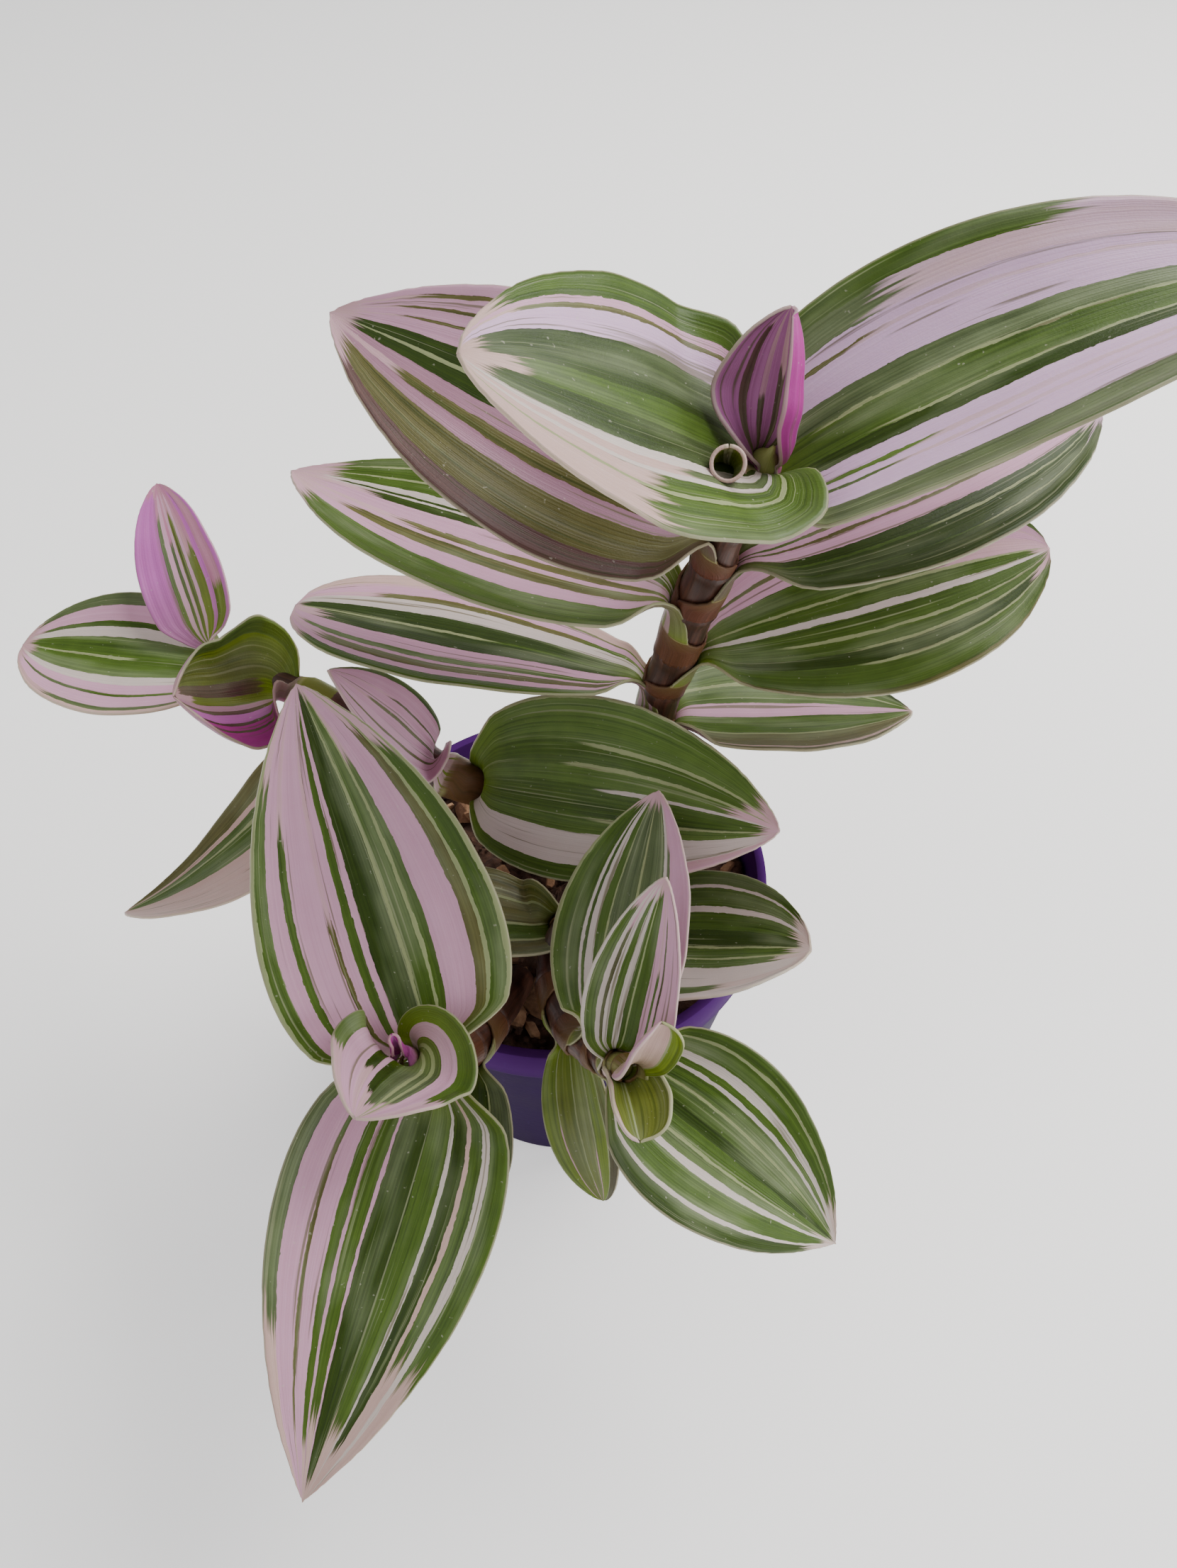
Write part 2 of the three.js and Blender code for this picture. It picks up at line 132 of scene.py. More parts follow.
class Finish:
    """A material: one glossy shader, and the nodes that colour it. Colour codes work as colours."""

    def __init__(self, name, **constants):
        self.material = bpy.data.materials.new(name)
        self.material.use_nodes = True
        self.tree = self.material.node_tree
        self.shader = self.tree.nodes["Principled BSDF"]
        for socket, value in constants.items():
            self.shader.inputs[socket.replace("_", " ")].default_value = value

    def node(self, kind, settings=None, sockets=None, output=0):
        """Adds a node, sets its settings and then its sockets, and gives one of its outputs."""
        made = self.tree.nodes.new(kind)
        for key, value in (settings or {}).items():
            if key == "stops":
                self.fill_ramp(made.color_ramp, value)
            elif key == "between":
                made.color_ramp.interpolation = value
            else:
                setattr(made, key, value)
        for key, value in (sockets or {}).items():
            self.feed(made.inputs[key], value)
        return Signal(self, made.outputs[output])

    def feed(self, socket, value):
        if isinstance(value, Signal):
            self.tree.links.new(value.socket, socket)
        else:
            socket.default_value = linear(value)

    def fill_ramp(self, ramp, stops):
        while len(ramp.elements) > 1:
            ramp.elements.remove(ramp.elements[-1])
        for i, (place, colour) in enumerate(stops):
            element = ramp.elements[0] if i == 0 else ramp.elements.new(place)
            element.position = place
            element.color = linear(colour)

    def set(self, **sockets):
        for socket, value in sockets.items():
            self.feed(self.shader.inputs[socket.replace("_", " ")], value)

    def place(self):
        """Object coordinates, in metres."""
        return self.node("ShaderNodeTexCoord", output="Object")

    def uv(self):
        """The parts of the mesh's own UV coordinates."""
        return self.split(self.node("ShaderNodeUVMap", {"uv_map": "surface"}))

    def split(self, vector):
        made = self.node("ShaderNodeSeparateXYZ", None, {0: vector}).socket.node
        return [Signal(self, output) for output in made.outputs]

    def join(self, x, y, z):
        return self.node("ShaderNodeCombineXYZ", None, {0: x, 1: y, 2: z})

    def speckle(self, vector, scale, detail=2, rough=0.5):
        sockets = {"Vector": vector, "Scale": scale, "Detail": detail, "Roughness": rough}
        return self.node("ShaderNodeTexNoise", None, sockets)

    def mix(self, factor, first, second, blend="MIX"):
        """Mixes two colours; the colour sockets of this node have the numbers 6, 7 and 2."""
        settings = {"data_type": "RGBA", "blend_type": blend}
        return self.node("ShaderNodeMix", settings, {0: factor, 6: first, 7: second}, 2)

    def ramp(self, factor, stops, between="LINEAR"):
        """A ramp of colours, each given with the place where it stands."""
        settings = {"between": between, "stops": stops}
        return self.node("ShaderNodeValToRGB", settings, {"Fac": factor})

    def bump(self, height, strength, distance):
        sockets = {"Strength": strength, "Distance": distance, "Height": height}
        return self.node("ShaderNodeBump", None, sockets)


def piece(name, bm, materials, smooth=True):
    """Makes an object of a finished mesh; it stays at the origin with its place in its mesh."""
    mesh = bpy.data.meshes.new(name)
    bm.to_mesh(mesh)
    bm.free()
    for polygon in mesh.polygons:
        polygon.use_smooth = smooth
    for material in materials:
        mesh.materials.append(material)
    made = bpy.data.objects.new(name, mesh)
    bpy.context.scene.collection.objects.link(made)
    return made


floor_paint = Finish("pale_floor", Roughness=0.9, Emission_Strength=FLOOR_GLOW)
floor_paint.set(Base_Color="fbfaf8", Emission_Color="ffffff")
bm = bmesh.new()
bmesh.ops.create_grid(bm, x_segments=1, y_segments=1, size=FLOOR_REACH)
bmesh.ops.translate(bm, vec=(0, 0, -FLOOR_DROP), verts=bm.verts)
piece("floor", bm, [floor_paint.material])

# The pot: a small nursery pot of thin violet plastic, moulded in one piece. A plain collar runs
# round its rim, the wall tapers to the base, and six drain holes go through the floor.
POT_HEIGHT = 70
RIM_RADIUS = 45
BASE_RADIUS = 34
WALL = 1.2
COLLAR_HEIGHT = 9
COLLAR_STEP = 1.6
DRAIN_HOLES = 6
DRAIN_RADIUS = 3
DRAIN_CIRCLE = 23
DRAIN_STEPS = 32
PUNCH_DEPTH = 8
FLOOR_TOP = WALL + 0.6
POT_STEPS = 120
SHARP_ANGLE = 40
COLLAR_FOOT = POT_HEIGHT - COLLAR_HEIGHT
NECK_RADIUS = RIM_RADIUS - COLLAR_STEP
INNER_RADIUS = RIM_RADIUS - WALL


def turned(bm, profile, steps):
    """Spins a line of points round the upright axis into a skin with no seam."""
    verts = [bm.verts.new(Vector((radius, 0, height)) * MM) for radius, height in profile]
    edges = [bm.edges.new(pair) for pair in zip(verts, verts[1:])]
    bmesh.ops.spin(bm, geom=verts + edges, axis=(0, 0, 1), cent=(0, 0, 0), angle=2 * math.pi,
                   steps=steps, use_merge=True)
    bmesh.ops.remove_doubles(bm, verts=bm.verts, dist=0.00001)
    bmesh.ops.recalc_face_normals(bm, faces=bm.faces)


violet = Finish("violet_plastic", IOR=1.05)
where = violet.place()
x, y, height = violet.split(where)
cloud = violet.speckle(where, 60, 3)
scuffs = violet.speckle(violet.join(x * 40, y * 40, height * 9), 14, 4, 0.7)
# The wall's dark violet is partly painted shade from the leaves; the collar is a painted highlight.
painted_collar_highlight = ((height - 0.058) * 180).held()
violet_with_painted_light = violet.mix(cloud, "1e0430", "280844")
violet_with_painted_light = violet.mix(painted_collar_highlight, violet_with_painted_light, "482062")
scuffed = ((scuffs - 0.62) * 6).held() * 0.1
violet.set(
    Base_Color=violet.mix(scuffed, violet_with_painted_light, "5c4488"),
    Roughness=cloud * 0.15 + 0.34,
    Normal=violet.bump(violet.speckle(where, 900, 2), 0.12, 0.0002),
)

bm = bmesh.new()
turned(bm, [
    (0, 0), (BASE_RADIUS - 1, 0), (BASE_RADIUS - 0.5, 0.1), (BASE_RADIUS - 0.1, 0.6),
    (BASE_RADIUS, 1.4), (NECK_RADIUS - 0.15, COLLAR_FOOT - 1.4), (NECK_RADIUS, COLLAR_FOOT - 0.9),
    (RIM_RADIUS - 0.7, COLLAR_FOOT - 0.3), (RIM_RADIUS - 0.2, COLLAR_FOOT),
    (RIM_RADIUS, COLLAR_FOOT + 0.6), (RIM_RADIUS, POT_HEIGHT - 1),
    (RIM_RADIUS - 0.15, POT_HEIGHT - 0.3), (RIM_RADIUS - 0.6, POT_HEIGHT),
    (INNER_RADIUS - 0.3, POT_HEIGHT), (INNER_RADIUS - 0.8, POT_HEIGHT - 0.3),
    (INNER_RADIUS - 1, POT_HEIGHT - 1), (NECK_RADIUS - WALL - 0.1, COLLAR_FOOT - 1),
    (BASE_RADIUS - WALL, FLOOR_TOP + 0.4),
    (BASE_RADIUS - WALL - 0.4, FLOOR_TOP), (0, FLOOR_TOP),
], POT_STEPS)
pot = piece("nursery_pot", bm, [violet.material])
bm = bmesh.new()
for i in range(DRAIN_HOLES):
    bearing = 2 * math.pi * i / DRAIN_HOLES
    centre = Vector((DRAIN_CIRCLE * math.cos(bearing), DRAIN_CIRCLE * math.sin(bearing), 0)) * MM
    bmesh.ops.create_cone(
        bm, cap_ends=True, segments=DRAIN_STEPS, radius1=DRAIN_RADIUS * MM,
        radius2=DRAIN_RADIUS * MM, depth=PUNCH_DEPTH * MM, matrix=Matrix.Translation(centre))
punches = piece("drain_punches", bm, [violet.material])
cut = pot.modifiers.new("drain_holes", "BOOLEAN")
cut.object = punches
cut.operation = "DIFFERENCE"
pierced = bpy.data.meshes.new_from_object(pot.evaluated_get(bpy.context.evaluated_depsgraph_get()))
pot.modifiers.clear()
pot.data = pierced
pot.data.set_sharp_from_angle(angle=math.radians(SHARP_ANGLE))
bpy.data.objects.remove(punches)
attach(pot, "root")
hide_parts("pot")

# The potting mix: damp dark peat that fills the pot to a little under its rim. Its uneven top is
# all that shows, so its underside is a plain one a little way down in the pot.
SOIL_LEVEL = 62
SOIL_FOOT = 48
SOIL_EDGE = 41.6
SOIL_TAPER = 1.2
SOIL_STEPS = 160
SOIL_RINGS = 56


def soil_height(x, y):
    """The height of the mix in millimetres: a low mound that is worked into lumps."""
    wide = math.sin(0.55 * x + 1.3) * math.cos(0.48 * y - 0.6)
    fine = math.sin(1.1 * x - 0.9 * y)
    mound = math.exp(-(x * x + y * y) / 500)
    return SOIL_LEVEL - 1 + 0.8 * wide + 0.5 * fine + 1.2 * mound


peat = Finish("damp_peat", Roughness=0.95)
where = peat.place()
grain = peat.speckle(where, 420, 6, 0.75)
patches = peat.speckle(where, 90, 3)
fibre = peat.node("ShaderNodeTexVoronoi", None, {"Vector": where, "Scale": 700})
peat_colour = peat.ramp(grain * 0.7 + patches * 0.3, [
    (0.3, "2b1912"), (0.48, "3f281b"), (0.6, "583a29"), (0.72, "7b593f")])
peat.set(Base_Color=peat_colour, Normal=peat.bump(grain + fibre * 0.4, 0.9, 0.0012))

bm = bmesh.new()
top = [(SOIL_EDGE * i / SOIL_RINGS, SOIL_LEVEL) for i in range(SOIL_RINGS + 1)]
turned(bm, [*top, (SOIL_EDGE - SOIL_TAPER, SOIL_FOOT), (0, SOIL_FOOT)], SOIL_STEPS)
for vert in bm.verts:
    x, y, z = vert.co / MM
    if z > SOIL_LEVEL - 1:
        lumps = noise.fractal(Vector((x, y, 5)) * 0.35, 0.7, 2.2, 5) * 1.1
        specks = abs(noise.noise(Vector((x, y, 9)) * 1.6)) * 0.9
        vert.co.z = (soil_height(x, y) + lumps + specks - 0.5) * MM
bmesh.ops.recalc_face_normals(bm, faces=bm.faces)
soil = piece("potting_mix", bm, [peat.material])

# The bark chips: broken pieces of pine bark, which lie loose in the top of the mix. The big ones
# have a place of their own, in millimetres with a length and a turn; small ones are strewn about.
BARK_CHIPS = [
    (-16, -24, 9, 20), (-4, -27, 7, 75), (-20, -14, 6, 130), (8, -30, 7, 10), (20, -26, 8, 150),
    (-28, 6, 8, 60), (-18, 24, 9, 15), (2, 28, 7, 100), (26, 16, 8, 40), (29, -6, 7, 95),
    (-11, -31, 6, 160), (-30, -12, 6, 20),
]
BIG_LIFT = 1.4
BIG_THICKNESS = 4
SMALL_LIFT = 0.7
LOOSE_CHIPS = 70
CHIP_REACH = 38.5
CHIP_LENGTHS = (2.2, 5.5)
CHIP_SEED = 11
BROKEN_EDGE = 0.16
CORNER_SHIFT = 0.09
TILT = 0.35

bark = Finish("pine_bark", Roughness=0.88)
where = bark.place()
layers = bark.speckle(where, 260, 5, 0.7)
tone = bark.speckle(where, 70, 1)
bark_colour = bark.ramp(layers * 0.55 + tone * 0.45, [
    (0.3, "452b1a"), (0.45, "704f34"), (0.58, "967253"), (0.72, "b59472")])
bark.set(Base_Color=bark_colour, Normal=bark.bump(layers, 0.8, 0.0008))


def flake(bm, x, y, lift, size, turn, rng):
    """One piece of bark or crumb: a block with its edges broken and its corners moved about."""
    made = bmesh.ops.create_cube(bm, size=1)["verts"]
    faces = list({face for vert in made for face in vert.link_faces})
    edges = list({edge for face in faces for edge in face.edges})
    bevelled = bmesh.ops.bevel(bm, geom=edges, offset=BROKEN_EDGE, segments=1, profile=0.5,
                               affect="EDGES", material=-1)
    # The corners are put in order by their places, so that they take the same draws in every run.
    made = sorted({vert for face in faces if face.is_valid for vert in face.verts}
                  | set(bevelled["verts"]), key=lambda vert: [round(part, 3) for part in vert.co])
    for vert in made:
        vert.co += Vector([rng.uniform(-CORNER_SHIFT, CORNER_SHIFT) for _ in range(3)])
    pitch, roll = rng.uniform(-TILT, TILT), rng.uniform(-TILT, TILT)
    tilt = Matrix.Rotation(pitch, 4, "X") @ Matrix.Rotation(roll, 4, "Y")
    centre = Vector((x, y, soil_height(x, y) + lift))
    bmesh.ops.transform(bm, verts=made, matrix=(
        Matrix.Translation(centre * MM) @ Matrix.Rotation(turn, 4, "Z") @ tilt
        @ Matrix.Diagonal((*(Vector(size) * MM), 1))))


def strewn(rng, reach, lengths):
    """A random place within a reach of the pot's axis, and a random length."""
    out, bearing = reach * math.sqrt(rng.random()), rng.uniform(0, 2 * math.pi)
    return out * math.cos(bearing), out * math.sin(bearing), rng.uniform(*lengths)


rng = random.Random(CHIP_SEED)
bm = bmesh.new()
for x, y, length, turn in BARK_CHIPS:
    shape = (length * 1.3, length * 0.75, BIG_THICKNESS)
    flake(bm, x, y, BIG_LIFT, shape, math.radians(turn), rng)
for _ in range(LOOSE_CHIPS):
    x, y, length = strewn(rng, CHIP_REACH, CHIP_LENGTHS)
    shape = (length, length * rng.uniform(0.4, 0.8), rng.uniform(1, 2.2))
    flake(bm, x, y, SMALL_LIFT, shape, rng.uniform(0, 6.28), rng)
chips = piece("bark_chips", bm, [bark.material], smooth=False)

# The crumbs of peat: small lumps of the same stuff as the mix, which lie loose all over its top and
# break up its surface.
CRUMBS = 420
CRUMB_REACH = 40.5
CRUMB_LENGTHS = (0.7, 1.8)

bm = bmesh.new()
for _ in range(CRUMBS):
    x, y, length = strewn(rng, CRUMB_REACH, CRUMB_LENGTHS)
    shape = (length, length * 0.8, length * 0.7)
    flake(bm, x, y, SMALL_LIFT, shape, rng.uniform(0, 6.28), rng)
crumbs = piece("peat_crumbs", bm, [peat.material], smooth=False)
for made in (soil, chips, crumbs):
    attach(made, "root")
    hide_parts("soil")

# The four stems: smooth, juicy, jointed shoots of purple-brown, each a little swollen where a leaf
# is seated. One stands up from the middle of the pot, one leans left and two lean over the front.
STEM_RADIUS = 3.8
TIP_RADIUS = 2.1
STEM_SIDES = 24
STEM_RINGS = 110
# The points that each stem's centre line follows, in millimetres; the first is down in the mix.
STEM_POINTS = {
    "main": [(13, 13, 50), (16, 11, 82), (20, 5, 116), (23, 3, 133), (28, -2, 159), (31, -6, 174),
             (34, -9, 184)],
    "left": [(-4, 10, 50), (-6, 8, 76), (-12, 3, 93), (-22, 3, 99), (-36, 11, 103), (-52, 20, 107),
             (-68, 27, 108)],
    "front_left": [(-9, -20, 50), (-9, -24, 65), (-11, -37, 77), (-15, -47, 82), (-20, -55, 89),
                   (-24, -60, 100)],
    "front_right": [(5, -8, 50), (5, -10, 66), (1, -20, 75), (-1, -33, 79), (3, -46, 83),
                    (10, -56, 90), (12, -62, 100)],
}
# The joints of each stem, in millimetres along it, where the sheaths of the leaves begin.
JOINTS = {
    "main": [51, 64, 74, 84, 97, 108.5, 118, 124, 134],
    "left": [40.5, 48, 61, 82, 97],
    "front_left": [38.5, 48, 57, 68],
    "front_right": [21, 25, 44, 56, 65.5, 71.5],
}
NODE_SWELL = 0.5
NODE_LENGTH = 1.1
POINT_LENGTH = 5


def ease(value, start, end):
    """0 up to the start, 1 from the end on, and a smooth rise between them."""
    share = min(max((value - start) / (end - start), 0), 1)
    return share * share * (3 - 2 * share)


def lerp(first, second, share):
    return first + (second - first) * share


class CentreLine:
    """A stem's centre line: its points with the corners between them cut, and places along it."""

    def __init__(self, points):
        self.line = [Vector(point) for point in points]
        for _ in range(2):
            cut = [self.line[0]]
            for here, there in zip(self.line, self.line[1:]):
                cut += [here.lerp(there, 0.25), here.lerp(there, 0.75)]
            self.line = cut + [self.line[-1]]
        self.marks = [0]
        for here, there in zip(self.line, self.line[1:]):
            self.marks.append(self.marks[-1] + (there - here).length)
        self.length = self.marks[-1]

    def at(self, distance):
        """The point and direction at a distance along the line, which runs on past its ends."""
        i = 0
        while i < len(self.line) - 2 and self.marks[i + 1] < distance:
            i += 1
        direction = (self.line[i + 1] - self.line[i]).normalized()
        return self.line[i] + direction * (distance - self.marks[i]), direction

    def radius(self, distance):
        return lerp(STEM_RADIUS, TIP_RADIUS, ease(distance, self.length * 0.7, self.length))


stems = {name: CentreLine(points) for name, points in STEM_POINTS.items()}

stem_skin = Finish("stem_skin", Roughness=0.42, Subsurface_Weight=0.08, Subsurface_Scale=0.002)
u, v, _ = stem_skin.uv()
where = stem_skin.place()
streaks = stem_skin.speckle(stem_skin.join(u * 26, v * 5, 0), 1, 4, 0.65)
blotches = stem_skin.speckle(where, 160, 3)
stem_colour = stem_skin.ramp(streaks * 0.6 + blotches * 0.4, [
    (0.3, "1f0f09"), (0.46, "3a2016"), (0.58, "523022"), (0.72, "74523f")])
fresh_tip = ((v - 0.93) * 16).held()
stem_colour = stem_skin.mix(fresh_tip * 0.9, stem_colour, "a3aa5c")
stem_skin.set(
    Base_Color=stem_colour,
    Roughness=blotches * 0.2 + 0.34,
    Normal=stem_skin.bump(streaks, 0.35, 0.0004),
)


def tube(bm, line, end, radius):
    """A tube round a centre line as far as its end, rolled up from a grid."""
    made = bmesh.ops.create_grid(bm, x_segments=STEM_SIDES, y_segments=STEM_RINGS, size=1,
                                 calc_uvs=True)["verts"]
    for vert in made:
        angle = math.pi * vert.co.x
        distance = end * (vert.co.y + 1) / 2
        point, direction = line.at(distance)
        ahead = line.at(distance + 2)[1] + line.at(distance - 2)[1]
        direction = (direction + ahead).normalized()
        side = direction.cross(Vector((0.3, 1, 0.2))).normalized()
        up = side.cross(direction)
        spread = (side * math.cos(angle) + up * math.sin(angle)) * radius(distance, angle)
        vert.co = (point + spread) * MM
    bmesh.ops.remove_doubles(bm, verts=made, dist=0.000001)


for name, line in stems.items():
    bm = bmesh.new()
    bm.loops.layers.uv.new("surface")

    def stem_width(distance, angle):
        swell = sum(math.exp(-((distance - joint) / NODE_LENGTH) ** 2) for joint in JOINTS[name])
        uneven = noise.noise(Vector((math.cos(angle), math.sin(angle), distance * 0.12))) * 0.1
        point = 1 - 0.85 * ease(distance, line.length - POINT_LENGTH, line.length - 1)
        return (line.radius(distance) + NODE_SWELL * swell + uneven) * point

    tube(bm, line, line.length - 1, stem_width)
    ends = [edge for edge in bm.edges if edge.is_boundary]
    bmesh.ops.holes_fill(bm, edges=ends, sides=0)
    bmesh.ops.recalc_face_normals(bm, faces=bm.faces)
    made = piece(f"shoot_{name}", bm, [stem_skin.material])
    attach(made, "root")
    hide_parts(f"stem_{name}")

# The leaves: boat-shaped blades half a millimetre thick, striped lengthwise in greens, white and
# pink. Each grows out of a short closed sheath that wraps its stem just above a joint.
BLADE_THICKNESS = 0.5
# A blade's path keeps this share of its length behind its turns.
LAG = 0.018
FINE_STEPS = 240
# What a leaf's stand counts in, in millimetres off the stem.
SNUG = 0.3
NARROWEST = 0.12
PALE = 1
GREEN = 0
HUES = {
    "dark": ("30420f", GREEN), "green": ("475f1e", GREEN), "fresh": ("6c8219", GREEN),
    "sage": ("566f2e", GREEN), "grey": ("586641", GREEN), "olive": ("605d34", GREEN),
    "moss": ("66702a", GREEN), "brown": ("494320", GREEN), "dusk": ("593f3b", GREEN),
    "line": ("949d70", PALE), "white": ("c9bdb6", PALE), "beige": ("c6a79f", PALE),
    "pink": ("cb9db4", PALE), "lilac": ("d4b2d2", PALE), "rose": ("a67c8e", PALE),
    "mauve": ("ae6c9e", PALE), "orchid": ("b968ae", PALE), "magenta": ("b03a92", PALE),
}
# What a leaf is given, in millimetres and degrees, with the values that most of them share.
# Place: at (its joint on the stem), sheath (length), stand (how far off the stem), aside (a shift).
# Course: heading, rise and roll at the start, and droop, sweep and twist, the turns up to the
# tip; hug (the length in which it turns off the stem). Outline: length, width, root and taper
# (how pointed foot and tip are), narrow (the share of the length in which it widens), and lobe,
# a shift of the foot's left side, or of its right side where lobe_side is 1. Section: wrap (how
# far it goes round the stem each way), cup (the same for the blade's left and right) and open
# (the share of the length in which one becomes the other). Colour: stripes, and inside for other
# ones on the upper face; tip and foot (the shares where tip_hue begins and base_hue ends), ground
# (the hue before a stripe begins), flush (how purple it is below), silver (how silvery the green
# is), rim (the share of the width where the pale margin begins), fresh (how green the sheath is).
SHARED = dict(roll=0, twist=0, droop=25, sweep=0, cup=(28, 28), root=0.55, taper=0.85, wrap=100,
              open=0.168, stand=1.8, tip=0.95, tip_hue="pink", base_hue="fresh", foot=0.22,
              ground="green", flush=0.45, narrow=0.13, lobe=(0, 0, 0), lobe_side=-1,
              aside=(0, 0, 0), hug=7, silver=0.45, inside=None, rim=0.985, fresh=0)


def stripe_stops(stripes, tip):
    """Two ramps for stripes such as "green -0.8, pink 0.2 0.1-0.9": each one's hue, where it ends
    across the blade, and between which shares of the length it runs. The first ramp holds its
    colour, and how pale it is as the alpha; the second holds where it begins and ends."""
    hues, runs = [], []
    start = 0
    for stripe in stripes.split(","):
        hue, edge, *run = stripe.split()
        begin, end = run[0].split("-") if run else (0, tip)
        code, pale = HUES[hue]
        hues.append((start, (*linear(code)[:3], pale)))
        runs.append((start, (float(begin), min(float(end), tip), 0, 1)))
        start = (float(edge) + 1) / 2
    return hues, runs


def blade_finish(name, leaf, under, number):
    """One side of a leaf: stripes that follow the blade, with streaks, veins, pale base and tip."""
    skin = Finish(name, Roughness=0.4, Subsurface_Weight=0.1, Subsurface_Scale=0.0012,
                  Specular_IOR_Level=0.2)
    skin.shader.inputs["Subsurface Radius"].default_value = (1, 0.9, 0.5)
    u, y, _ = skin.uv()
    where = skin.place()
    blade_start = leaf["sheath_rows"] / leaf["rows"]
    t = (y - blade_start) / (1 - blade_start)
    wide, long = leaf["width"], leaf["length"]
    seed = number * 7.3

    def grain(across, along, shift, detail=2, rough=0.5):
        place = skin.join(u * (wide * across), t * (long * along), seed + shift)
        return skin.speckle(place, 1, detail, rough)

    def flecks(threshold, gain, *texture):
        return ((grain(*texture) - threshold) * gain).held()

    wander = grain(0.05, 0.03, 0, 1)
    jagged = grain(0.7, 0.16, 3, 4, 0.7)
    spiky = grain(1.5, 0.02, 5, 2, 0.6)
    bent = u + (wander - 0.5) * 0.03 + (jagged - 0.5) * 0.03
    stripes = leaf["stripes" if under else "inside"] or leaf["stripes"]
    hues, runs = stripe_stops(stripes, leaf["tip"])
    striped = skin.ramp(bent, hues, "CONSTANT")
    begin, end, _ = skin.split(skin.ramp(bent, runs, "CONSTANT"))
    begun = ((t - begin - (spiky - 0.5) * 0.25) * 30 + 1).held()
    ended = ((t - end + (spiky - 0.5) * 0.2) * 30).held()
    pale = Signal(skin, striped.socket.node.outputs["Alpha"]) * begun
    pale = pale.maths("MAXIMUM", ended)
    green = 1 - pale
    streaks = flecks(0.62, 16, 1.0, 0.03, 7)
    lines = flecks(0.63, 12, 1.5, 0.02, 13)
    shadows = flecks(0.55, 8, 1.2, 0.035, 29, 3)
    silver = flecks(0.46, 5, 0.2, 0.045, 37)
    veins = grain(3.2, 0.03, 19, 2)
    mottle = skin.speckle(where, 240, 3)

    ground, tip_hue, base_hue = (HUES[leaf[key]][0] for key in ("ground", "tip_hue", "base_hue"))
    tip_colour = skin.mix(grain(0.3, 0.05, 23), tip_hue, HUES["beige"][0])
    colour = skin.mix(begun, ground, striped)
    colour = skin.mix(shadows * green * 0.5, colour, "2a3e10")
    colour = skin.mix(silver * green * leaf["silver"], colour, "838f6c")
    colour = skin.mix(lines * green * 0.5, colour, "a2a882")
    colour = skin.mix(streaks * pale * 0.8, colour, "6a6546")
    colour = skin.mix(ended, colour, tip_colour)
    foot = (1 - t / leaf["foot"]).held()
    colour = skin.mix(foot * (0.5 + green * 0.45), colour, base_hue)
    edge = (u - 0.5).maths("ABSOLUTE") * 2
    dust = ((skin.speckle(where, 1300, 1) - 0.74) * 20).held() * 0.3
    colour = skin.mix(dust, colour, "c9c5b4")
    margin = ((edge - leaf["rim"]) * 90).held() * 0.5
    colour = skin.mix(margin, colour, "bdb59a")
    if under and leaf["flush"]:
        colour = skin.mix(leaf["flush"] * (1 - foot * 0.8), colour, "8c4a80")
    shade = skin.ramp(veins * 0.7 + mottle * 0.3, [
        (0.3, (0.16, 0.16, 0.16, 1)), (0.7, (0.84, 0.84, 0.84, 1))])
    colour = skin.mix(green * 0.35 + 0.2, colour, shade, "SOFT_LIGHT")

    # The sheath, below the blade: brown ribs, greener just under its pale mouth.
    below = t * -long
    ribs = grain(2.2, 0.02, 31, 3)
    brownish = skin.mix(ribs, "2e140f", "744434")
    brownish = skin.mix((1 - below / 5).held() * 0.35, brownish, "76683a")
    brownish = skin.mix(leaf["fresh"], brownish, "7d8a3a")
    colour = skin.mix((below + 0.6).held() * 0.95, colour, brownish)
    rim = (1 - (below - 0.2).maths("ABSOLUTE") * 3).held() * ((edge - 0.5) * 6).held()
    colour = skin.mix(rim * 0.7, colour, "9a9a62")
    skin.set(
        Base_Color=colour,
        Roughness=mottle * 0.18 + 0.32,
        Normal=skin.bump(veins * 0.7 + skin.speckle(where, 2600, 2) * 0.3, 0.4, 0.0003),
    )
    return skin.material


def leaf_frames(leaf, line):
    """Where the blade runs: spot, right and normal at even steps from the stem to the tip."""
    foot, axis = line.at(leaf["at"])
    heading, rise = math.radians(leaf["heading"]), math.radians(leaf["rise"])
    start = Vector((math.cos(heading) * math.cos(rise), math.sin(heading) * math.cos(rise),
                    math.sin(rise)))
    outward = (start - axis * start.dot(axis)).normalized()
    face = (Vector((0, 0, 1)) - start * start.z).normalized()
    face = Quaternion(start, math.radians(leaf["roll"])) @ face
    hinge = start.cross(face)

    def directions(t):
        bend = math.radians(leaf["droop"]) * t
        along = Quaternion(hinge, -bend) @ start
        normal = Quaternion(hinge, -bend) @ face
        along = Quaternion(face, -math.radians(leaf["sweep"]) * t) @ along
        spread = ease(t * leaf["length"], 0, leaf["hug"])
        along = along.lerp(axis, 1 - spread).normalized()
        normal = normal * spread + outward * (spread - 1)
        normal = (normal - along * normal.dot(along)).normalized()
        return along, Quaternion(along, math.radians(leaf["twist"]) * t) @ normal

    hold = line.radius(leaf["at"]) + leaf["stand"] * SNUG
    spot = foot + outward * hold + Vector(leaf["aside"])
    frames = []
    for i in range(FINE_STEPS + 1):
        t = i / FINE_STEPS
        along, normal = directions(t)
        frames.append((spot.copy(), along.cross(normal), normal))
        spot += directions(max(t - LAG, 0))[0] * (leaf["length"] / FINE_STEPS)
    return frames, hold, start


def outline(leaf, t):
    """The blade's half width, 1 at its widest."""
    root, taper = leaf["root"], leaf["taper"]
    widest = root / (root + taper)
    return t ** root * (1 - t) ** taper / (widest ** root * (1 - widest) ** taper)


leaves = []


